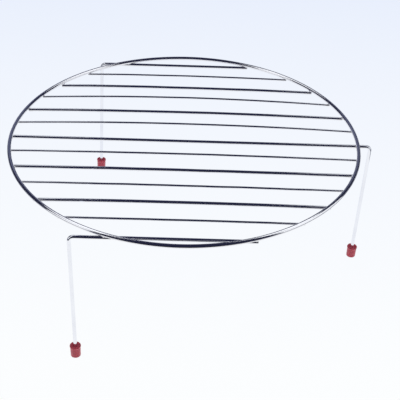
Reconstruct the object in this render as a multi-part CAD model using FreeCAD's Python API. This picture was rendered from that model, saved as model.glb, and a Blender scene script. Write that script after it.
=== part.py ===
import FreeCAD, Part
import math
import os

# Round wire rack on three legs, with push-on rubber feet. Millimetres, +Z up.
# Z = 0 is the plane the feet stand on. The wires run along X, and +Y is the back.
# X = 0 and Y = 0 are the middle of the footprint's bounding box.

V = FreeCAD.Vector

# ---- driving dimensions -------------------------------------------------------
rim_radius = 145.0          # centre-line radius of the hoop
rim_wire = 3.3              # hoop wire diameter
heavy_wire = 3.0            # seven heavy cross wires, three of which become legs
light_wire = 2.0            # six light cross wires between them
wire_pitch = 22.3           # centre to centre across the grid
wire_count = 13             # counted from the back to the front
weld_sink = 0.3             # how far each cross wire is pressed into the hoop
overall_height = 122.9      # floor to the top of the hoop
end_overhang = 0.8          # a leg wire's far end stops this far past the hoop's centre-line
end_setback = 0.4           # a plain wire's two ends stop this far short of it
end_chamfer = 0.25
straight_end = 14.0         # a bowed wire is straight this near its ends

leg_bend_radius = 3.6       # centre-line radius of the bend at the top of a leg
leg_side_x = 81.6           # how far left of the hoop's axis the two left legs stand
leg_right_x = 156.1         # how far right of it the right leg stands

cap_height = 10.4
cap_bottom_radius = 4.05
cap_top_radius = 4.2
cap_lip_radius = 4.45
cap_lip_height = 1.0
cap_floor = 2.2             # rubber under the leg's end
cap_edge_round = 0.8
bore_clearance = 0.05       # radial, leg in cap
seat_gap = 0.05             # leg's end above the cap's floor

butt_gap = 0.5              # the hoop's two ends are joined by a bead of this width
butt_proud = 0.1
butt_width = 1.6
butt_angle = 62.0           # degrees round from +X

weld_radius_heavy = 1.65
weld_radius_light = 1.35
weld_inset = 0.8            # a plain wire's welds sit this far in from the hoop's centre-line

# Springy wires are not dead straight between their welds. Sagitta of each, in the
# direction bow_tilt degrees above the horizontal, towards the back.
wire_bow = {2: 1.0, 3: 1.2, 4: 3.1, 5: 1.6, 6: 2.8, 8: 1.2, 9: 0.7, 10: 0.6, 11: 0.9, 12: 0.4}
bow_tilt = 35.0

# Each leg stands at x from the hoop's axis, and leans a little from the vertical: its
# run in X and Y for each unit down.
legs = {
    "back_left": {"wire": 1, "side": -1, "x": leg_side_x, "lean": (-0.035, -0.004)},
    "right": {"wire": 7, "side": 1, "x": leg_right_x, "lean": (-0.018, 0.018)},
    "front_left": {"wire": 13, "side": -1, "x": leg_side_x, "lean": (0.001, -0.008)},
}

# ---- derived ------------------------------------------------------------------
rim_r = rim_wire / 2.0
rim_z = overall_height - rim_r
left_reach = rim_radius + rim_r
leg_drop = rim_z - rim_r - heavy_wire / 2.0 + weld_sink - cap_height
right_reach = leg_right_x + legs["right"]["lean"][0] * leg_drop + cap_lip_radius
rim_x = (left_reach - right_reach) / 2.0     # the hoop's axis, left of the middle


def wire_y(number):
    return ((wire_count + 1) / 2.0 - number) * wire_pitch


def wire_radius(number):
    return (heavy_wire if number % 2 else light_wire) / 2.0


def wire_z(number):
    return rim_z - rim_r - wire_radius(number) + weld_sink


def half_span(number):
    chord = math.sqrt(rim_radius ** 2 - wire_y(number) ** 2)
    is_leg = any(legs[name]["wire"] == number for name in legs)
    return chord + (end_overhang if is_leg else -end_setback)


def unit(v):
    w = V(v.x, v.y, v.z)
    w.normalize()
    return w


def disc(centre, normal, radius):
    edge = Part.Circle(centre, normal, radius).toShape()
    return Part.Face(Part.Wire([edge]))


def rod(start, end, radius):
    return disc(start, end - start, radius).extrude(end - start)


def tapered_end(base, outward, radius):
    # The last quarter millimetre of a cut end, with its sharp edge broken.
    return Part.makeCone(radius, radius - end_chamfer, end_chamfer, base, outward)


def join(pieces):
    solid = pieces[0].fuse(pieces[1:]).removeSplitter()
    return solid.Solids[0]


def arc_of(number):
    # The middle of a bowed wire is one flat arc, and its two ends are straight and
    # tangent to it. Gives the arc's centre, radius, axis, outward way and half length.
    bow = wire_bow[number]
    reach = half_span(number) - straight_end
    tilt = math.radians(bow_tilt)
    out = V(0, math.cos(tilt), math.sin(tilt))
    radius = (reach ** 2 / 2.0 + reach * straight_end) / bow
    middle = V(rim_x, wire_y(number), wire_z(number))
    return middle + out * (bow - radius), radius, out.cross(V(1, 0, 0)), out, reach


def axis_point(number, x):
    # Where the axis of a cross wire is at a distance x from the hoop's axis, and the
    # way it points there.
    if number not in wire_bow:
        return V(rim_x + x, wire_y(number), wire_z(number)), V(1, 0, 0)
    centre, radius, axis, out, reach = arc_of(number)
    on_arc = max(-reach, min(reach, x))
    slope = math.asin(on_arc / radius)
    point = centre + out * (radius * math.cos(slope)) + V(on_arc, 0, 0)
    way = V(1, 0, 0) * math.cos(slope) - out * math.sin(slope)
    return point + way * ((x - on_arc) / math.cos(slope)), way


def cross_wire(number):
    # A plain wire: straight, or with a very flat bow up and towards the back.
    r, half = wire_radius(number), half_span(number) - end_chamfer
    start, start_way = axis_point(number, -half)
    stop, stop_way = axis_point(number, half)
    ends = [tapered_end(start, start_way * -1.0, r), tapered_end(stop, stop_way, r)]
    if number not in wire_bow:
        return join([rod(start, stop, r)] + ends)
    centre, radius, axis, out, reach = arc_of(number)
    arc_start, way = axis_point(number, -reach)
    arc_stop, unused = axis_point(number, reach)
    turn = 2.0 * math.degrees(math.asin(reach / radius))
    body = disc(arc_start, way, r).revolve(centre, axis, turn)
    return join([body, rod(start, arc_start, r), rod(arc_stop, stop, r)] + ends)


def leg_line(name):
    # A point on the leg's axis at the top corner, and the unit direction down the leg.
    leg = legs[name]
    number = leg["wire"]
    corner = V(rim_x + leg["side"] * leg["x"], wire_y(number), wire_z(number))
    down = unit(V(leg["lean"][0], leg["lean"][1], -1.0))
    return corner, down


def on_leg(name, z):
    corner, down = leg_line(name)
    return corner + down * ((z - corner.z) / down.z)


def leg_wire(name):
    # One length of wire: across under the hoop, round the bend and down to the floor.
    leg = legs[name]
    number = leg["wire"]
    r = heavy_wire / 2.0
    corner, down = leg_line(name)
    along = V(leg["side"], 0, 0)
    turn = along.getAngle(down)
    setback = leg_bend_radius * math.tan(turn / 2.0)
    bend_in = corner - along * setback
    bend_out = corner + down * setback
    far = V(rim_x - leg["side"] * half_span(number), wire_y(number), wire_z(number))
    near = far + along * end_chamfer
    foot = on_leg(name, cap_floor + seat_gap)
    ankle = foot - down * end_chamfer
    axis = unit(along.cross(down))
    centre = bend_in + axis.cross(along) * leg_bend_radius
    run = rod(near, bend_in, r)
    bend = disc(bend_in, along, r).revolve(centre, axis, math.degrees(turn))
    leg_rod = rod(bend_out, ankle, r)
    return join([run, bend, leg_rod, tapered_end(near, along * -1.0, r), tapered_end(ankle, down, r)])


def foot_cap(name):
    # A moulded rubber sleeve with a closed bottom, turned about the leg's axis. Its
    # underside is then trimmed level with the floor.
    corner, down = leg_line(name)
    up = down * -1.0
    base = on_leg(name, 0.0)
    skirt = 0.4
    lip_low = cap_height - cap_lip_height
    r_round = cap_edge_round
    lip_round = 0.3
    bore = heavy_wire / 2.0 + bore_clearance
    h = math.sqrt(0.5)
    # Half section, x outwards and z up, closed along the axis.
    b = cap_bottom_radius
    p = [
        V(0, 0, -skirt),
        V(b - r_round, 0, -skirt),
        V(b - r_round, 0, 0),
        V(b, 0, r_round),
        V(cap_top_radius, 0, lip_low - 0.2),
        V(cap_lip_radius, 0, lip_low),
        V(cap_lip_radius, 0, cap_height - lip_round),
        V(cap_lip_radius - lip_round, 0, cap_height),
        V(bore + 0.3, 0, cap_height),
        V(bore, 0, cap_height - 0.3),
        V(bore, 0, cap_floor),
        V(0, 0, cap_floor),
    ]
    low_mid = V(b - r_round + r_round * h, 0, r_round - r_round * h)
    lip_centre = V(cap_lip_radius - lip_round, 0, cap_height - lip_round)
    lip_mid = lip_centre + V(lip_round * h, 0, lip_round * h)
    edges = [Part.LineSegment(p[0], p[1]).toShape(), Part.LineSegment(p[1], p[2]).toShape()]
    edges.append(Part.Arc(p[2], low_mid, p[3]).toShape())
    for i in range(3, 6):
        edges.append(Part.LineSegment(p[i], p[i + 1]).toShape())
    edges.append(Part.Arc(p[6], lip_mid, p[7]).toShape())
    for i in range(7, 12):
        edges.append(Part.LineSegment(p[i], p[(i + 1) % 12]).toShape())
    solid = Part.Face(Part.Wire(edges)).revolve(V(0, 0, 0), V(0, 0, 1), 360)
    solid.Placement = FreeCAD.Placement(base, FreeCAD.Rotation(V(0, 0, 1), up))
    below = Part.makeBox(30, 30, 10, base + V(-15, -15, -10))
    cap = solid.cut(below)
    return cap.Solids[0]


def rim_torus(radius):
    return Part.makeTorus(rim_radius, radius, V(rim_x, 0, rim_z))


def slab(width):
    # A thin radial block across the hoop's wire where its two ends meet.
    block = Part.makeBox(20, width, 20, V(rim_radius - 10, -width / 2.0, -10))
    turn = FreeCAD.Rotation(V(0, 0, 1), butt_angle)
    block.Placement = FreeCAD.Placement(V(rim_x, 0, rim_z), turn).multiply(block.Placement)
    return block


def weld(number, side):
    # The fillet of metal squeezed out where a cross wire is welded under the hoop. It
    # is a ball with the hoop's wire and the cross wire taken away.
    reach = 4.0
    x = side * math.sqrt(rim_radius ** 2 - wire_y(number) ** 2)
    point, way = axis_point(number, x)
    around = V(-wire_y(number), x, 0) * (1.0 / rim_radius)
    on_rim = V(rim_x + x, wire_y(number), rim_z)
    # The hoop is treated as straight here, so a hair is added for its curve.
    rim_part = rod(on_rim - around * reach, on_rim + around * reach, rim_r + 0.025)
    cross_part = rod(point - way * reach, point + way * reach, wire_radius(number))
    radius = weld_radius_heavy if number % 2 else weld_radius_light
    inset = 0.0 if half_span(number) > abs(x) else weld_inset
    middle = V(on_rim.x - side * inset, on_rim.y, rim_z - rim_r + weld_sink / 2.0)
    bead = Part.makeSphere(radius, middle).cut(rim_part).cut(cross_part)
    return max(bead.Solids, key=lambda s: s.Volume)


def save(shape, name):
    shape.exportStep("parts/" + name + ".step")


os.makedirs("parts", exist_ok=True)

rim = rim_torus(rim_r).cut(slab(butt_gap)).Solids[0]
bead = rim_torus(rim_r + butt_proud).common(slab(butt_width)).cut(rim)
save(rim, "rim_hoop")
save(bead.Solids[0], "rim_butt_weld")

leg_of = {legs[name]["wire"]: name for name in legs}
beads = {}
for number in range(1, wire_count + 1):
    if number in leg_of:
        name = "leg_wire_" + leg_of[number]
        whole = leg_wire(leg_of[number])
    else:
        name = ("heavy" if number % 2 else "light") + "_wire_%02d" % number
        whole = cross_wire(number)
    seated = whole.cut(rim_torus(rim_r))
    seated = max(seated.Solids, key=lambda s: s.Volume)
    save(seated, name)
    kind = "heavy" if number % 2 else "light"
    for side, word in ((-1, "left"), (1, "right")):
        group = beads.setdefault(kind + "_welds_" + word, [])
        group.append(weld(number, side))
    print(name, "y %.1f" % wire_y(number), "volume %.1f" % seated.Volume, seated.isValid())

for name in beads:
    save(Part.makeCompound(beads[name]), name)
    print(name, len(beads[name]), ["%.2f" % s.Volume for s in beads[name]])

for name in legs:
    cap = foot_cap(name)
    save(cap, "foot_cap_" + name)
    print("foot_cap_" + name, "volume %.1f" % cap.Volume, cap.isValid(), on_leg(name, 0.0))
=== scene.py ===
import math

import bmesh
import bpy
import numpy as np
from mathutils import Matrix, Vector


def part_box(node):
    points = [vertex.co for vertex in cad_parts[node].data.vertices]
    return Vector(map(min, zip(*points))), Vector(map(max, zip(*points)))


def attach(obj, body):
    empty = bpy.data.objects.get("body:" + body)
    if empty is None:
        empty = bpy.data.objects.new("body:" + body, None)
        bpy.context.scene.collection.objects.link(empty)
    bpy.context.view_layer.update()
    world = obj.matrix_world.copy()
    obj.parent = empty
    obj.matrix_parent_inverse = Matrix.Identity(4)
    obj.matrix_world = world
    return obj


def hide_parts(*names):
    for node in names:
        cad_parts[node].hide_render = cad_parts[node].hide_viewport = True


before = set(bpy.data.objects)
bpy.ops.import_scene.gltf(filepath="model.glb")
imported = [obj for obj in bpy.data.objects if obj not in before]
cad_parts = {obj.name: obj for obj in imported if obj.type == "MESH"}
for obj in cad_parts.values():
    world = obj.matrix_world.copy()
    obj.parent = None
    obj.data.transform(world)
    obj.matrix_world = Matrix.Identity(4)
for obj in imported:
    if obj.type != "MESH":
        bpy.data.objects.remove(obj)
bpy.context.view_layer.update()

# A round rack of chromed wire: a hoop, thirteen wires welded under it, and three legs, which
# are the first, middle and last of those wires bent down, in red silicone caps. Each piece
# here is a finer version of the plain node that it replaces.

MM = 0.001

# ---- the rack's own dimensions, in millimetres ----------------------------------------
RIM_RADIUS = 145.0
RIM_WIRE = 1.65
HEAVY = 1.5
LIGHT = 1.0
PITCH = 22.3
SINK = 0.3                          # how deep a weld lets a cross wire into the hoop
OVERHANG = 0.8                      # how far a leg wire's far end passes the hoop
SETBACK = 0.4                       # how far a plain wire stops short of its centre-line
BEND_RADIUS = 3.6
CAP_HEIGHT = 10.4
CAP_BOTTOM = 4.05
CAP_TOP = 4.2
CAP_LIP = 4.45
CAP_FLOOR = 2.2
CAP_TRAVEL = 12.0
# How far each cross wire bows, and the direction that it bows in, above the horizontal.
BOW = {2: 1.0, 3: 1.2, 4: 3.1, 5: 1.6, 6: 2.8, 8: 1.2, 9: 0.7, 10: 0.6, 11: 0.9, 12: 0.4}
BOW_TILT = math.radians(35.0)
# Each leg's wire, side, distance from the hoop's middle to its bend, and lean.
LEGS = {
    "back_left": (1, -1, 81.6, (-0.035, -0.004)),
    "right": (7, 1, 156.1, (-0.018, 0.018)),
    "front_left": (13, -1, 81.6, (0.001, -0.008)),
}
LEG_WIRES = (1, 7, 13)
WIRES = range(1, 14)
BUTT_ANGLE = math.radians(62.0)

rim_low, rim_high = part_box("rim_hoop")
RIM_X = (rim_low.x + rim_high.x) / 2 / MM
RIM_Z = (rim_low.z + rim_high.z) / 2 / MM


def wire_y(number):
    """Wire 1 is at the back, 7 crosses the middle and 13 is at the front."""
    return (7 - number) * PITCH


def wire_r(number):
    return HEAVY if number % 2 else LIGHT


def wire_z(number):
    return RIM_Z - RIM_WIRE - wire_r(number) + SINK


def crossing(number):
    """Distance from the middle to where a cross wire passes under the hoop's centre-line."""
    return math.sqrt(RIM_RADIUS ** 2 - wire_y(number) ** 2)


def half_span(number):
    return crossing(number) + (OVERHANG if number in LEG_WIRES else -SETBACK)


def unit(v):
    v = np.asarray(v, float)
    return v / np.linalg.norm(v)


# ---- sweeps ---------------------------------------------------------------------------

def solid(name, verts, faces, uvs=None):
    """Makes a smooth closed piece from a list of points in millimetres."""
    mesh = bpy.data.meshes.new(name)
    mesh.from_pydata([tuple(v) for v in np.asarray(verts, float) * MM], [], faces)
    if uvs is not None:
        layer = mesh.uv_layers.new(name="UVMap")
        layer.data.foreach_set("uv", np.array(uvs, np.float32).ravel())
    mesh.polygons.foreach_set("use_smooth", [True] * len(mesh.polygons))
    bm = bmesh.new()
    bm.from_mesh(mesh)
    bmesh.ops.recalc_face_normals(bm, faces=bm.faces)
    bm.to_mesh(mesh)
    bm.free()
    piece = bpy.data.objects.new(name, mesh)
    bpy.context.scene.collection.objects.link(piece)
    return piece


def sweep(name, path, radius, sides, closed=False, squash=None, swell=None):
    """A tube of round wire along path. radius is one number or one for each point. squash
    flattens the section at each point, in the plane of a bend, and swell adds a depth at
    each point and angle. The UV map is in millimetres: U runs along the wire and V round
    it, from a seam underneath."""
    path = np.asarray(path, float)
    count = len(path)
    radius = np.broadcast_to(np.asarray(radius, float), (count,))
    if closed:
        tangent = np.roll(path, -1, 0) - np.roll(path, 1, 0)
    else:
        tangent = np.gradient(path, axis=0)
    tangent /= np.linalg.norm(tangent, axis=1)[:, None]
    side = np.cross(tangent[0], (0, 0, 1.0))
    if np.linalg.norm(side) < 1e-3:
        side = np.array((0, 1.0, 0))
    side = unit(side)
    spread = 0.4                    # how much of the flattening comes back as width
    angles = np.linspace(0, 2 * math.pi, sides, endpoint=False) + math.pi / 2
    verts = []
    for i, t in enumerate(tangent):
        side = unit(side - t * side.dot(t))
        other = np.cross(t, side)
        reach = radius[i] + (swell[i] if swell is not None else 0)
        narrow = squash[i] if squash is not None else 0.0
        verts.append(path[i] + np.outer(np.cos(angles) * reach * (1 + narrow * spread), side)
                     + np.outer(np.sin(angles) * reach * (1 - narrow), other))
    verts = np.concatenate(verts)
    steps = np.linalg.norm(np.diff(path, axis=0), axis=1)
    along = np.concatenate([[0], np.cumsum(steps)])
    total = along[-1] + (np.linalg.norm(path[0] - path[-1]) if closed else 0)
    faces = []
    uvs = []
    rings = count if closed else count - 1
    girth = 2 * math.pi * float(radius.max())
    for i in range(rings):
        j = (i + 1) % count
        u0, u1 = along[i], (along[j] if j else total)
        for k in range(sides):
            n = (k + 1) % sides
            v0, v1 = k / sides * girth, (k + 1) / sides * girth
            faces.append((i * sides + k, i * sides + n, j * sides + n, j * sides + k))
            uvs += [(u0, v0), (u0, v1), (u1, v1), (u1, v0)]
    if not closed:
        faces.append(tuple(range(sides))[::-1])
        faces.append(tuple((count - 1) * sides + k for k in range(sides)))
        uvs += [(0, k / sides * girth) for k in range(sides)]
        uvs += [(total, k / sides * girth) for k in range(sides)]
    return solid(name, verts, faces, uvs)


def wander(s, size, seed, wave):
    """Slow random drift along a wire, one column each for two directions, within size."""
    rng = np.random.default_rng(seed)
    out = np.zeros((len(s), 2))
    for axis in range(2):
        for k in (1, 2, 3, 5):
            phase = 2 * math.pi * s * k / wave
            out[:, axis] += rng.normal() / k * np.sin(phase + 2 * math.pi * rng.random())
    return np.clip(out * size / 1.6, -size, size)


def lumps(points, size, wave, seed):
    """Small smooth lumps at each of the points."""
    rng = np.random.default_rng(seed)
    out = np.zeros(len(points))
    for k in range(9):
        way = rng.normal(size=3)
        way /= np.linalg.norm(way) * wave * rng.uniform(0.6, 1.5)
        out += np.sin(2 * math.pi * (points @ way + rng.random()))
    return out * size / 3.0


def surface(field, low, step):
    """The zero level of a sampled field, negative inside, as points and quads. Each cell
    that the surface passes through gets one point, at the mean of its edge crossings."""
    cells = tuple(n - 1 for n in field.shape)
    total, hits = np.zeros(cells + (3,)), np.zeros(cells)
    for axis in range(3):
        f = np.moveaxis(field, axis, 0)
        crossed = (f[:-1] < 0) != (f[1:] < 0)
        gap = np.where(crossed, f[:-1] - f[1:], 1.0)
        share = np.where(crossed, f[:-1] / gap, 0.0)
        grid = np.indices(crossed.shape).astype(float)
        grid[0] += share
        grid *= crossed
        into, at = np.moveaxis(total, axis, 0), np.moveaxis(hits, axis, 0)
        order = [axis] + [k for k in range(3) if k != axis]
        for p in (0, 1):
            for q in (0, 1):
                part = (slice(None), slice(p, crossed.shape[1] - 1 + p),
                        slice(q, crossed.shape[2] - 1 + q))
                at += crossed[part]
                for k in range(3):
                    into[..., order[k]] += grid[k][part]
    used = hits > 0
    number = np.full(cells, -1)
    number[used] = np.arange(used.sum())
    points = low + total[used] / hits[used][:, None] * step
    quads = []
    for axis in range(3):
        f, ids = np.moveaxis(field, axis, 0), np.moveaxis(number, axis, 0)
        crossed = ((f[:-1] < 0) != (f[1:] < 0))[:, 1:-1, 1:-1]
        corners = (ids[:, :-1, :-1], ids[:, 1:, :-1], ids[:, 1:, 1:], ids[:, :-1, 1:])
        quads.append(np.stack([c[crossed] for c in corners], axis=1))
    return points, np.concatenate(quads)


def end_ramp(radius):
    """Distance from a cut end and radius there: a sheared end with its edge rounded by the
    tumbling and the plating."""
    edge, steps = 0.32, 5
    rows = [(0.0, radius * 0.45), (0.015, radius - edge)]
    for k in range(1, steps + 1):
        w = k / steps * math.pi / 2
        rows.append((0.02 + edge * (1 - math.cos(w)), radius - edge + edge * math.sin(w)))
    return rows


def wire_path(points, radius):
    """Trims a dense path to rounded cut ends, and gives the radius at each point."""
    points = np.asarray(points, float)
    steps = np.linalg.norm(np.diff(points, axis=0), axis=1)
    s = np.concatenate([[0], np.cumsum(steps)])
    total = s[-1]
    rows = end_ramp(radius)
    clear = 0.5                     # the path's own points start this far from an end
    stations = rows + [(v, radius) for v in s if clear < v < total - clear]
    stations += [(total - d, r) for d, r in rows[::-1]]
    at = np.array([v[0] for v in stations])
    radii = np.array([v[1] for v in stations])
    out = np.stack([np.interp(at, s, points[:, k]) for k in range(3)], axis=1)
    return out, radii


def axis_point(number, x):
    """The point of a cross wire's axis at x from the middle."""
    point = np.array((RIM_X + x, wire_y(number), wire_z(number)))
    if number in BOW:
        half = half_span(number)
        out = BOW[number] * (1 - (x / half) ** 2)
        point += out * np.array((0, math.cos(BOW_TILT), math.sin(BOW_TILT)))
    return point


# ---- materials ------------------------------------------------------------------------

class Graph:
    """Short way to write a material's node tree."""

    def __init__(self, name):
        self.material = bpy.data.materials.new(name)
        self.material.use_nodes = True
        self.tree = self.material.node_tree
        self.tree.nodes.clear()

    def put(self, socket, value):
        """Links a socket, or sets it to a constant."""
        if isinstance(value, bpy.types.NodeSocket):
            self.tree.links.new(value, socket)
        else:
            socket.default_value = value

    def add(self, kind, **sockets):
        """A new node. i0, i1 and so on are sockets by number, and the rest are by name."""
        node = self.tree.nodes.new(kind)
        for key, value in sockets.items():
            numbered = key[0] == "i" and key[1:].isdigit()
            self.put(node.inputs[int(key[1:]) if numbered else key.replace("_", " ")], value)
        return node

    def math(self, operation, a, b=0.0, c=0.0):
        node = self.add("ShaderNodeMath", i0=a, i1=b, i2=c)
        node.operation = operation
        return node.outputs[0]

    def noise(self, vector, scale, detail, rough, distort=0.0):
        node = self.add("ShaderNodeTexNoise", Vector=vector, Scale=scale, Detail=detail,
                        Roughness=rough, Distortion=distort)
        return node.outputs[0]

    def remap(self, value, low, high, to_low, to_high, smooth=False):
        node = self.add("ShaderNodeMapRange", i0=value, i1=low, i2=high, i3=to_low, i4=to_high)
        node.clamp = True
        if smooth:
            node.interpolation_type = "SMOOTHSTEP"
        return node.outputs[0]

    def mix(self, factor, a, b):
        node = self.tree.nodes.new("ShaderNodeMix")
        node.data_type = "RGBA"
        for index, value in ((0, factor), (6, a), (7, b)):
            self.put(node.inputs[index], value)
        return node.outputs[2]

    def scaled(self, source, scale):
        node = self.add("ShaderNodeMapping", Vector=source)
        node.inputs["Scale"].default_value = scale
        return node.outputs[0]

    def bump(self, height, strength, distance):
        node = self.add("ShaderNodeBump", Strength=strength, Distance=distance, Height=height)
        return node.outputs[0]

    def finish(self, shader):
        out = self.add("ShaderNodeOutputMaterial")
        self.tree.links.new(shader, out.inputs[0])
        return self.material


def chrome(name, dull=0.0):
    """Bright nickel-chrome on drawn wire. The lines and scratches follow the UV map, which
    is in millimetres along and round the wire. The welds have no map, so they have only
    the pits and the ripple. dull is 1 for weld metal, which is rougher under its plating."""
    g = Graph(name)
    coords = g.add("ShaderNodeTexCoord")
    uv, place = coords.outputs["UV"], coords.outputs["Object"]
    cloud = g.noise(place, 45.0, 4.0, 0.6)
    peel = g.noise(place, 1900.0, 2.0, 0.5)
    pits = g.remap(g.noise(place, 3600.0, 1.0, 0.5), 0.70, 0.78, 0.0, 1.0)
    # Polished by tumbling: fine lines left by the drawing die, and a few handling scratches.
    draw = g.noise(g.scaled(uv, (0.03, 7.0, 1.0)), 1.0, 3.0, 0.6)
    rub = g.noise(g.scaled(uv, (0.9, 3.2, 1.0)), 1.0, 1.0, 0.4, 0.6)
    scratch = g.remap(rub, 0.70, 0.74, 0.0, 1.0)
    # The plating is a little cloudier where the hoop was heated by its welds.
    split = g.add("ShaderNodeSeparateXYZ", Vector=place)
    across = g.math("ADD", split.outputs[0], -RIM_X * MM)
    square = g.math("ADD", g.math("MULTIPLY", across, across),
                    g.math("MULTIPLY", split.outputs[1], split.outputs[1]))
    off_rim = g.math("ABSOLUTE", g.math("SUBTRACT", g.math("SQRT", square), RIM_RADIUS * MM))
    heat = g.remap(off_rim, 0.002, 0.009, 0.35, 0.0, smooth=True)
    rough = g.math("MULTIPLY_ADD", cloud, 0.09 + dull * 0.2, 0.02 + dull * 0.10)
    rough = g.math("MULTIPLY_ADD", heat, 0.07, rough)
    rough = g.math("MULTIPLY_ADD", scratch, 0.08, rough)
    rough = g.math("MULTIPLY_ADD", pits, 0.10, rough)
    tone = g.mix(g.remap(cloud, 0.35, 0.7, 0.0, 1.0),
                 (0.88, 0.89, 0.93, 1), (0.81, 0.82, 0.87, 1))
    tone = g.mix(heat, tone, (0.74, 0.72, 0.72, 1))
    height = g.math("MULTIPLY_ADD", draw, 0.3, g.math("MULTIPLY", peel, 0.08 + dull))
    height = g.math("MULTIPLY_ADD", scratch, -0.35, height)
    height = g.math("MULTIPLY_ADD", pits, -0.3, height)
    normal = g.bump(height, 0.06 + dull * 0.3, 0.00002)
    shader = g.add("ShaderNodeBsdfPrincipled", Base_Color=tone, Metallic=1.0, Roughness=rough,
                   Normal=normal)
    return g.finish(shader.outputs[0])


def silicone(name):
    """Moulded silicone: satin, slightly translucent, with the mould's fine spark texture,
    faint flow marks, dust in the pores, and darker and rougher within 1.2 mm of the sole."""
    g = Graph(name)
    place = g.add("ShaderNodeTexCoord").outputs["Object"]
    grain = g.noise(place, 4200.0, 2.0, 0.6)
    cloud = g.noise(place, 240.0, 4.0, 0.6)
    flow = g.noise(g.scaled(place, (700.0, 700.0, 150.0)), 1.0, 3.0, 0.5, 0.4)
    dust = g.remap(g.noise(place, 6500.0, 1.0, 0.5), 0.66, 0.76, 0.0, 0.14)
    height_m = g.add("ShaderNodeSeparateXYZ", Vector=place).outputs[2]
    # This mask makes the cap darker and rougher towards the sole, in its lowest 1.2 mm.
    sole_band = g.remap(height_m, 0.0, 0.0012, 1.0, 0.0, smooth=True)
    tone = g.mix(g.remap(cloud, 0.3, 0.7, 0.0, 1.0),
                 (0.48, 0.051, 0.080, 1), (0.58, 0.073, 0.108, 1))
    tone = g.mix(g.remap(flow, 0.45, 0.75, 0.0, 0.22), tone, (0.62, 0.10, 0.125, 1))
    tone = g.mix(dust, tone, (0.55, 0.36, 0.36, 1))
    # Darker towards the sole, by this mask.
    tone = g.mix(g.math("MULTIPLY", sole_band, 0.4), tone, (0.30, 0.05, 0.06, 1))
    rough = g.math("MULTIPLY_ADD", cloud, 0.16, 0.30)
    rough = g.math("MULTIPLY_ADD", sole_band, 0.2, rough)
    normal = g.bump(g.math("MULTIPLY_ADD", flow, 0.5, grain), 0.12, 0.00004)
    shader = g.add("ShaderNodeBsdfPrincipled", Base_Color=tone, Roughness=rough, Normal=normal)
    shader.inputs["IOR"].default_value = 1.43
    shader.inputs["Subsurface Weight"].default_value = 0.25
    shader.inputs["Subsurface Radius"].default_value = (0.0012, 0.0003, 0.0003)
    shader.inputs["Subsurface Scale"].default_value = 1.0
    shader.inputs["Sheen Weight"].default_value = 0.08
    shader.inputs["Sheen Roughness"].default_value = 0.4
    return g.finish(shader.outputs[0])


CHROME = chrome("chromed_wire")
WELD = chrome("weld_metal", 1.0)
SILICONE = silicone("red_silicone")


def dress(piece, material, body, node):
    """Gives a piece its material, the body it rides on and the node it replaces."""
    piece.data.materials.append(material)
    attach(piece, body)
    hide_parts(node)


# ---- the hoop -------------------------------------------------------------------------

HOOP_POINTS = 900
theta = np.linspace(0, 2 * math.pi, HOOP_POINTS, endpoint=False)
drift = np.zeros(HOOP_POINTS)
lift = np.zeros(HOOP_POINTS)
# It is never quite round or flat: waves per turn, size and phase, always inwards and down.
for k, size, phase in ((2, 0.055, 0.4), (3, 0.045, 2.2), (7, 0.03, 1.1), (13, 0.02, 3.0),
                       (24, 0.012, 0.7)):
    drift += size * (np.sin(k * theta + phase) - 1) / 2
    lift += size * (np.sin(k * theta + 2.3 * phase) - 1) / 2
hoop = np.stack([RIM_X + (RIM_RADIUS + drift) * np.cos(theta),
                 (RIM_RADIUS + drift) * np.sin(theta), RIM_Z + lift], axis=1)
rim = sweep("rim", hoop, RIM_WIRE, 32, closed=True)
dress(rim, CHROME, "rack", "rim_hoop")

# The hoop's closing weld: a ground flash that still stands a little proud.
BUTT_HALF, BUTT_CROWN = 0.8, 0.55
FLASH, FLASH_LIMIT, FLASH_RIPPLE = 0.12, 0.1, 0.03
rings, sides = 25, 36
around = np.linspace(-BUTT_HALF, BUTT_HALF, rings)
spot = BUTT_ANGLE + around / RIM_RADIUS
arc = np.stack([RIM_X + RIM_RADIUS * np.cos(spot), RIM_RADIUS * np.sin(spot),
                np.full(rings, RIM_Z)], axis=1)
turns = np.linspace(0, 2 * math.pi, sides, endpoint=False)
crown = np.exp(-(np.abs(around) / BUTT_CROWN) ** 2.4)
skin = np.stack([np.repeat(around, sides), np.tile(np.cos(turns), rings) * 1.5,
                 np.tile(np.sin(turns), rings) * 1.5], axis=1)
ripple = lumps(skin, FLASH_RIPPLE, 1.3, 5).reshape(rings, sides)
flash = (FLASH * crown - FLASH / 2)[:, None] + (ripple - FLASH_RIPPLE) * crown[:, None]
bead = sweep("butt_weld", arc, RIM_WIRE, sides, swell=np.minimum(flash, FLASH_LIMIT))
dress(bead, WELD, "rack", "rim_butt_weld")

# ---- cross wires ----------------------------------------------------------------------

WANDER, WANDER_WAVE = 0.10, 150.0

for number in WIRES:
    if number in LEG_WIRES:
        continue
    half = half_span(number)
    xs = np.linspace(-half, half, 260)
    points = np.array([axis_point(number, x) for x in xs])
    fade = 1 - (xs / half) ** 8     # the welds hold the ends where they belong
    points[:, 1:] += wander(xs + half, WANDER, 40 + number, WANDER_WAVE) * fade[:, None]
    path, radii = wire_path(points, wire_r(number))
    node = ("heavy" if number % 2 else "light") + "_wire_%02d" % number
    piece = sweep("cross_wire_%02d" % number, path, radii, 24)
    dress(piece, CHROME, "rack", node)

# ---- leg wires ------------------------------------------------------------------------

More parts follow.
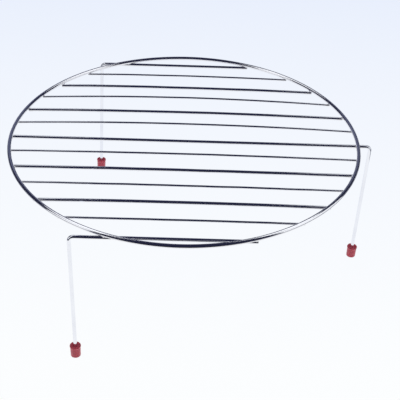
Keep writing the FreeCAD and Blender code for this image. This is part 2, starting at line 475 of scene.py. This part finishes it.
LEG_CLEAR = 0.05                    # between a leg's end and the floor of its cap's bore
BEND_FLAT = 0.055                   # share of the wire's height lost at a bend
FOOT = {}
for name, (number, side, reach, lean) in LEGS.items():
    corner = np.array((RIM_X + side * reach, wire_y(number), wire_z(number)))
    down = unit((lean[0], lean[1], -1.0))
    along = np.array((side, 0.0, 0.0))
    turn = math.acos(along.dot(down))
    short = BEND_RADIUS * math.tan(turn / 2)
    bend_in, bend_out = corner - along * short, corner + down * short
    inward = unit(down - along * along.dot(down))
    centre = bend_in + inward * BEND_RADIUS
    far = corner.copy()
    far[0] = RIM_X - side * half_span(number)
    base = corner + down * (corner[2] / -down[2])
    foot = corner + down * ((corner[2] - CAP_FLOOR - LEG_CLEAR) / -down[2])
    FOOT[name] = (base, -down)
    run = [far + (bend_in - far) * t for t in np.linspace(0, 1, 280)]
    bend = [centre + (-inward * math.cos(w) + along * math.sin(w)) * BEND_RADIUS
            for w in np.linspace(0, turn, 40)[1:-1]]
    leg = [bend_out + (foot - bend_out) * t for t in np.linspace(0, 1, 140)]
    path, radii = wire_path(run + bend + leg, HEAVY)
    near = np.linalg.norm(path - centre, axis=1)
    flat = np.clip((BEND_RADIUS * 1.45 - near) / (BEND_RADIUS * 0.45), 0, 1) ** 2
    piece = sweep("leg_" + name, path, radii, 28, squash=BEND_FLAT * flat)
    dress(piece, CHROME, "rack", "leg_wire_" + name)

# ---- welds ----------------------------------------------------------------------------

WELD_INSET = 0.7                    # a plain wire's weld sits this far inside the crossing
WELD_REACH = 2.4
WELD_FADE = (1.3, 2.3)              # where the fillet starts and ends sinking into the wires
WELD_SINK = 0.25
WELD_LUMPS = 0.06
WELD_SOFT = {1: 1.15, 0: 0.85}      # fillet size of the odd, heavy wires and the even, light
WELD_SKIN = 0.1                     # the metal over a plain wire's end


def weld_bead(number, side):
    """Metal squeezed out where a cross wire is welded under the hoop: the two wires run
    together with a soft fillet, which sinks back into them further out."""
    r = wire_r(number)
    x = side * crossing(number)
    point = axis_point(number, x)
    way = unit(axis_point(number, x + side * 0.5) - axis_point(number, x - side * 0.5))
    inset = 0.0 if number in LEG_WIRES else WELD_INSET
    middle = np.array((RIM_X + x - side * inset, wire_y(number), RIM_Z - RIM_WIRE + SINK / 2))
    size, step = 2.7, 0.15
    n = int(2 * size / step) + 1
    low = middle - size
    axes = [low[k] + np.arange(n) * step for k in range(3)]
    p = np.stack(np.meshgrid(*axes, indexing="ij"), axis=-1).reshape(-1, 3)
    rho = np.hypot(p[:, 0] - RIM_X, p[:, 1])
    to_rim = np.hypot(rho - RIM_RADIUS, p[:, 2] - RIM_Z) - RIM_WIRE
    q = p - point
    t = q @ way
    to_wire = np.linalg.norm(q - t[:, None] * way, axis=1) - r
    if number not in LEG_WIRES:
        to_wire = np.maximum(to_wire, t + SETBACK - WELD_SKIN)
    elif side not in [leg[1] for leg in LEGS.values() if leg[0] == number]:
        to_wire = np.maximum(to_wire, t - OVERHANG)
    soft = WELD_SOFT[number % 2]
    h = np.clip(0.5 + 0.5 * (to_wire - to_rim) / soft, 0, 1)
    field = to_wire * (1 - h) + to_rim * h - soft * h * (1 - h)
    far = np.linalg.norm(p - middle, axis=1)
    edge = np.clip((far - WELD_FADE[0]) / (WELD_FADE[1] - WELD_FADE[0]), 0, 1)
    field += lumps(p, WELD_LUMPS, 1.5, number * 2 + side) * (1 - edge) + WELD_LUMPS / 2
    field += WELD_SINK * edge ** 2 * (3 - 2 * edge)
    field = np.maximum(field, far - WELD_REACH)
    return surface(field.reshape(n, n, n), low, step)


for kind, odd in (("heavy", 1), ("light", 0)):
    for side, word in ((-1, "left"), (1, "right")):
        verts, faces, start = [], [], 0
        for number in WIRES:
            if number % 2 != odd:
                continue
            points, quads = weld_bead(number, side)
            verts.append(points)
            faces += [tuple(int(v) + start for v in q) for q in quads]
            start += len(points)
        piece = solid("%s_beads_%s" % (kind, word), np.concatenate(verts), faces)
        dress(piece, WELD, "rack", "%s_welds_%s" % (kind, word))

# ---- foot caps ------------------------------------------------------------------------

def curve(cx, cz, r, start, stop, count):
    """Points on an arc about (cx, cz), from one angle to another in degrees."""
    return [(cx + r * math.cos(math.radians(w)), cz + r * math.sin(math.radians(w)))
            for w in np.linspace(start, stop, count)]


def foot_cap(name, base, up):
    """A moulded silicone sleeve, turned about the leg's axis, with its sole cut level."""
    sole, heel = -0.4, 0.8
    lip, root, edge = CAP_HEIGHT - 1.0, 0.12, 0.34
    dish, mouth = 0.10, 0.4
    bore, pocket = HEAVY + 0.05, 0.3
    # The outline, as radius and height, from the middle of the sole up the outside, over
    # the lip and down the bore. The sole starts too low and is cut off at height 0.
    rows = [(0.0, sole), (1.2, sole), (CAP_BOTTOM - heel, sole)]
    rows += curve(CAP_BOTTOM - heel, heel, heel, -90, 0, 11)
    rows += [(CAP_BOTTOM + (CAP_TOP - CAP_BOTTOM) * t, heel + (lip - 1.15) * t)
             for t in np.linspace(0, 1, 16)[1:]]
    rows += [(CAP_TOP + 0.06, lip - 0.22), (CAP_TOP + 0.17, lip - 0.08)]
    rows += curve(CAP_LIP - root, lip + root, root, -50, 0, 4)
    rows += curve(CAP_LIP - edge, CAP_HEIGHT - edge, edge, 0, 90, 9)
    rows += [(CAP_LIP - edge - t * (CAP_LIP - edge - bore - mouth), CAP_HEIGHT - dish * t * t)
             for t in np.linspace(0, 1, 7)[1:]]
    rows += curve(bore + mouth, CAP_HEIGHT - (dish + mouth), mouth, 90, 180, 7)
    rows += [(bore, z) for z in np.linspace(CAP_HEIGHT - 0.7, CAP_FLOOR + pocket, 12)]
    rows += curve(bore - pocket, CAP_FLOOR + pocket, pocket, 0, -90, 4)
    rows += [(0.6, CAP_FLOOR), (0.0, CAP_FLOOR)]
    rows = np.array(rows)
    # The mould line stands up at two opposite sides, where the points are closer together.
    seam, seam_depth, seam_width = math.radians(24.0), 0.05, 0.9
    angles = set(np.round(np.linspace(0, 2 * math.pi, 96, endpoint=False), 5))
    for line in (seam, seam + math.pi):
        angles |= {round(line + math.radians(d), 5) for d in (-2.4, -1.5, -0.7, 0, 0.7, 1.5, 2.4)}
    angles = np.array(sorted(angles))
    away = np.minimum(np.abs((angles - seam + math.pi) % (2 * math.pi) - math.pi),
                      np.abs((angles - seam) % (2 * math.pi) - math.pi))
    ridge = seam_depth * np.exp(-(np.degrees(away) / seam_width) ** 2)
    # Share of the ridge at each row: none on the sole, all of it outside, none in the bore.
    outer = np.interp(np.arange(len(rows)), [0, 10, 13, 29, 36, 46], [0, 0, 1, 1, 0.4, 0])
    side_x = unit(np.cross((0, 1.0, 0), up))
    side_y = np.cross(up, side_x)
    verts = [base + up * rows[0][1]]
    n = len(angles)
    for (r, z), share in zip(rows[1:-1], outer[1:-1]):
        reach = r + ridge * share - seam_depth * share
        if share:
            reach = reach + lumps(np.stack([np.cos(angles) * 4, np.sin(angles) * 4,
                                            np.full(n, z)], axis=1), 0.012, 5.0, 9)
        verts += list(base + up * z + np.outer(reach * np.cos(angles), side_x)
                      + np.outer(reach * np.sin(angles), side_y))
    verts.append(base + up * rows[-1][1])
    verts = np.array(verts)
    verts[:, 2] = np.maximum(verts[:, 2], 0.0)
    faces = [(0, 1 + (k + 1) % n, 1 + k) for k in range(n)]
    for i in range(len(rows) - 3):
        a, b = 1 + i * n, 1 + (i + 1) * n
        faces += [(a + k, a + (k + 1) % n, b + (k + 1) % n, b + k) for k in range(n)]
    a, tip = 1 + (len(rows) - 3) * n, len(verts) - 1
    faces += [(a + k, a + (k + 1) % n, tip) for k in range(n)]
    return solid("cap_" + name, verts, faces)


for name, (base, up) in FOOT.items():
    dress(foot_cap(name, base, up), SILICONE, "cap_" + name, "foot_cap_" + name)

# ---- floor ----------------------------------------------------------------------------

def plane(name, corners, material, **seen):
    """A flat four-cornered piece of the studio, in metres. seen says which rays see it."""
    mesh = bpy.data.meshes.new(name)
    mesh.from_pydata(corners, [], [(0, 1, 2, 3)])
    piece = bpy.data.objects.new(name, mesh)
    bpy.context.scene.collection.objects.link(piece)
    piece.data.materials.append(material)
    for key, value in seen.items():
        setattr(piece, key, value)


FLOOR_Z = -(CAP_TRAVEL + 4.0) * MM
g = Graph("floor")
where = g.add("ShaderNodeTexCoord").outputs["Object"]
split = g.add("ShaderNodeSeparateXYZ", Vector=where)
back = g.remap(split.outputs[1], -0.13, 0.64, 0.0, 1.0)
glow_tone = g.mix(back, (0.975, 0.99, 1.0, 1), (0.815, 0.87, 0.99, 1))
# Far out it fades into the room's own tone, so that it has no edge.
away = g.add("ShaderNodeVectorMath", i0=where)
away.operation = "LENGTH"
glow_tone = g.mix(g.remap(away.outputs["Value"], 0.9, 2.8, 0.0, 1.0, smooth=True), glow_tone,
                  (0.808, 0.869, 0.995, 1))
glow = g.add("ShaderNodeEmission", Color=glow_tone, Strength=0.97)
paper = g.add("ShaderNodeBsdfDiffuse", Color=(0.05, 0.05, 0.05, 1))
both = g.add("ShaderNodeAddShader")
g.tree.links.new(glow.outputs[0], both.inputs[0])
g.tree.links.new(paper.outputs[0], both.inputs[1])
FLOOR = g.finish(both.outputs[0])
# It lies below the feet by more than the caps' travel, so a cap pulled off stays in sight.
plane("floor", [(-4, -3, FLOOR_Z), (4, -3, FLOOR_Z), (4, 5, FLOOR_Z), (-4, 5, FLOOR_Z)], FLOOR)

# ---- light ----------------------------------------------------------------------------

def glowing(name, colour, strength):
    g = Graph(name)
    return g.finish(g.add("ShaderNodeEmission", Color=(*colour, 1), Strength=strength).outputs[0])


def matt(name, colour):
    g = Graph(name)
    return g.finish(g.add("ShaderNodeBsdfDiffuse", Color=(*colour, 1)).outputs[0])


WALL = glowing("white_wall", (0.95, 0.97, 1.0), 1.15)
WALL_TOP = 1.06
for word, x, front, back in (("right", 0.92, -0.62, 0.17), ("left", -0.92, -0.74, -0.18)):
    plane(word + "_wall", [(x, front, 0.0), (x, back, 0.0), (x, back, WALL_TOP),
                           (x, front, WALL_TOP)],
          WALL, visible_camera=False)
for side, word, tone in ((-1, "left", (0.13, 0.14, 0.225)), (1, "right", (0.09, 0.10, 0.155))):
    plane("back_wall_" + word, [(0.0, 1.6, 0.25), (side * 1.5, 1.6, 0.25), (side * 1.3, 1.6, 1.6),
                                (0.0, 1.6, 1.6)],
          glowing("dim_wall_" + word, tone, 1.0), visible_camera=False)
# A bright band high up, from the top of each wall round towards the back. It is left out
# at the back itself, where it would draw a light line along every cross wire.
BAND = glowing("band", (0.95, 0.97, 1.0), 1.4)
BAND_OUT, BAND_IN, BAND_TOP = 0.86, 0.55, 1.40
for step in range(22):
    if 8 <= step <= 11:
        continue
    w0, w1 = (math.radians(-10 + 10 * (step + k)) for k in (0, 1))
    ring = [(r * math.cos(w), r * math.sin(w), z)
            for w, r, z in ((w0, BAND_OUT, WALL_TOP), (w1, BAND_OUT, WALL_TOP),
                            (w1, BAND_IN, BAND_TOP), (w0, BAND_IN, BAND_TOP))]
    plane("band_%02d" % step, ring, BAND, visible_camera=False)
# Cloths that only the chrome sees: its dark lines come from them.
MIRRORED = {"visible_camera": False, "visible_diffuse": False, "visible_shadow": False}
plane("front_cloth", [(-3, -3, 0.002), (3, -3, 0.002), (3, -0.29, 0.002), (-3, -0.29, 0.002)],
      matt("black_cloth", (0.02, 0.02, 0.03)), **MIRRORED)
GREY = glowing("grey_cloth", (0.14, 0.15, 0.20), 1.0)
for side, word, edge in ((1, "right", 0.30), (-1, "left", 0.31)):
    plane("grey_cloth_" + word, [(side * edge, -0.9, 0.003), (side * 2.0, -0.9, 0.003),
                                 (side * 2.0, 0.9, 0.003), (side * edge, 0.9, 0.003)],
          GREY, **MIRRORED)

# A soft lamp overhead for the caps, which the chrome doesn't show.
lamp = bpy.data.lights.new("overhead", "AREA")
lamp.energy = 4.4
lamp.shape = "RECTANGLE"
lamp.size, lamp.size_y = 1.2, 1.0
lamp.color = (1.0, 0.97, 0.97)
lamp_holder = bpy.data.objects.new("overhead", lamp)
lamp_holder.location = (0.0, -0.15, 1.3)
lamp_holder.visible_glossy = False
lamp_holder.visible_camera = False
bpy.context.scene.collection.objects.link(lamp_holder)

# The room is dark to the chrome and pale to the eye.
world = bpy.data.worlds.new("room")
bpy.context.scene.world = world
world.use_nodes = True
tree = world.node_tree
tree.nodes.clear()
seen = tree.nodes.new("ShaderNodeLightPath")
dark = tree.nodes.new("ShaderNodeBackground")
dark.inputs[0].default_value = (0.016, 0.017, 0.040, 1)
dark.inputs[1].default_value = 1.2
pale = tree.nodes.new("ShaderNodeBackground")
pale.inputs[0].default_value = (0.80, 0.86, 0.985, 1)
pale.inputs[1].default_value = 0.98
choose = tree.nodes.new("ShaderNodeMixShader")
out = tree.nodes.new("ShaderNodeOutputWorld")
tree.links.new(seen.outputs["Is Camera Ray"], choose.inputs[0])
tree.links.new(dark.outputs[0], choose.inputs[1])
tree.links.new(pale.outputs[0], choose.inputs[2])
tree.links.new(choose.outputs[0], out.inputs[0])

scene = bpy.context.scene
scene.view_settings.view_transform = "Standard"
scene.view_settings.look = "None"

# ---- camera ---------------------------------------------------------------------------

AZIMUTH, ELEVATION, ROLL = -0.6816, 35.6759, 2.0566
FOCAL, FRAME = 966.06, 400.0         # the focal length, where the frame is 400 wide
DISTANCE = 5.09401 * RIM_RADIUS
TARGET = np.array((RIM_X + 0.09340 * RIM_RADIUS, -0.60308 * RIM_RADIUS, RIM_Z))

a, e, r = (math.radians(v) for v in (AZIMUTH, ELEVATION, ROLL))
backward = np.array((math.sin(a) * math.cos(e), -math.cos(a) * math.cos(e), math.sin(e)))
rightward = unit(np.cross(-backward, (0, 0, 1.0)))
upward = np.cross(rightward, -backward)
axis_x = math.cos(r) * rightward + math.sin(r) * upward
axis_y = -math.sin(r) * rightward + math.cos(r) * upward
eye = (TARGET + backward * DISTANCE) * MM
lens = bpy.data.cameras.new("camera")
lens.sensor_width = 36.0
lens.lens = FOCAL / FRAME * lens.sensor_width
lens.clip_start = 0.01
camera = bpy.data.objects.new("camera", lens)
scene.collection.objects.link(camera)
pose = Matrix.Identity(4)
for row in range(3):
    pose[row][0], pose[row][1], pose[row][2] = axis_x[row], axis_y[row], backward[row]
    pose[row][3] = eye[row]
camera.matrix_world = pose
scene.camera = camera
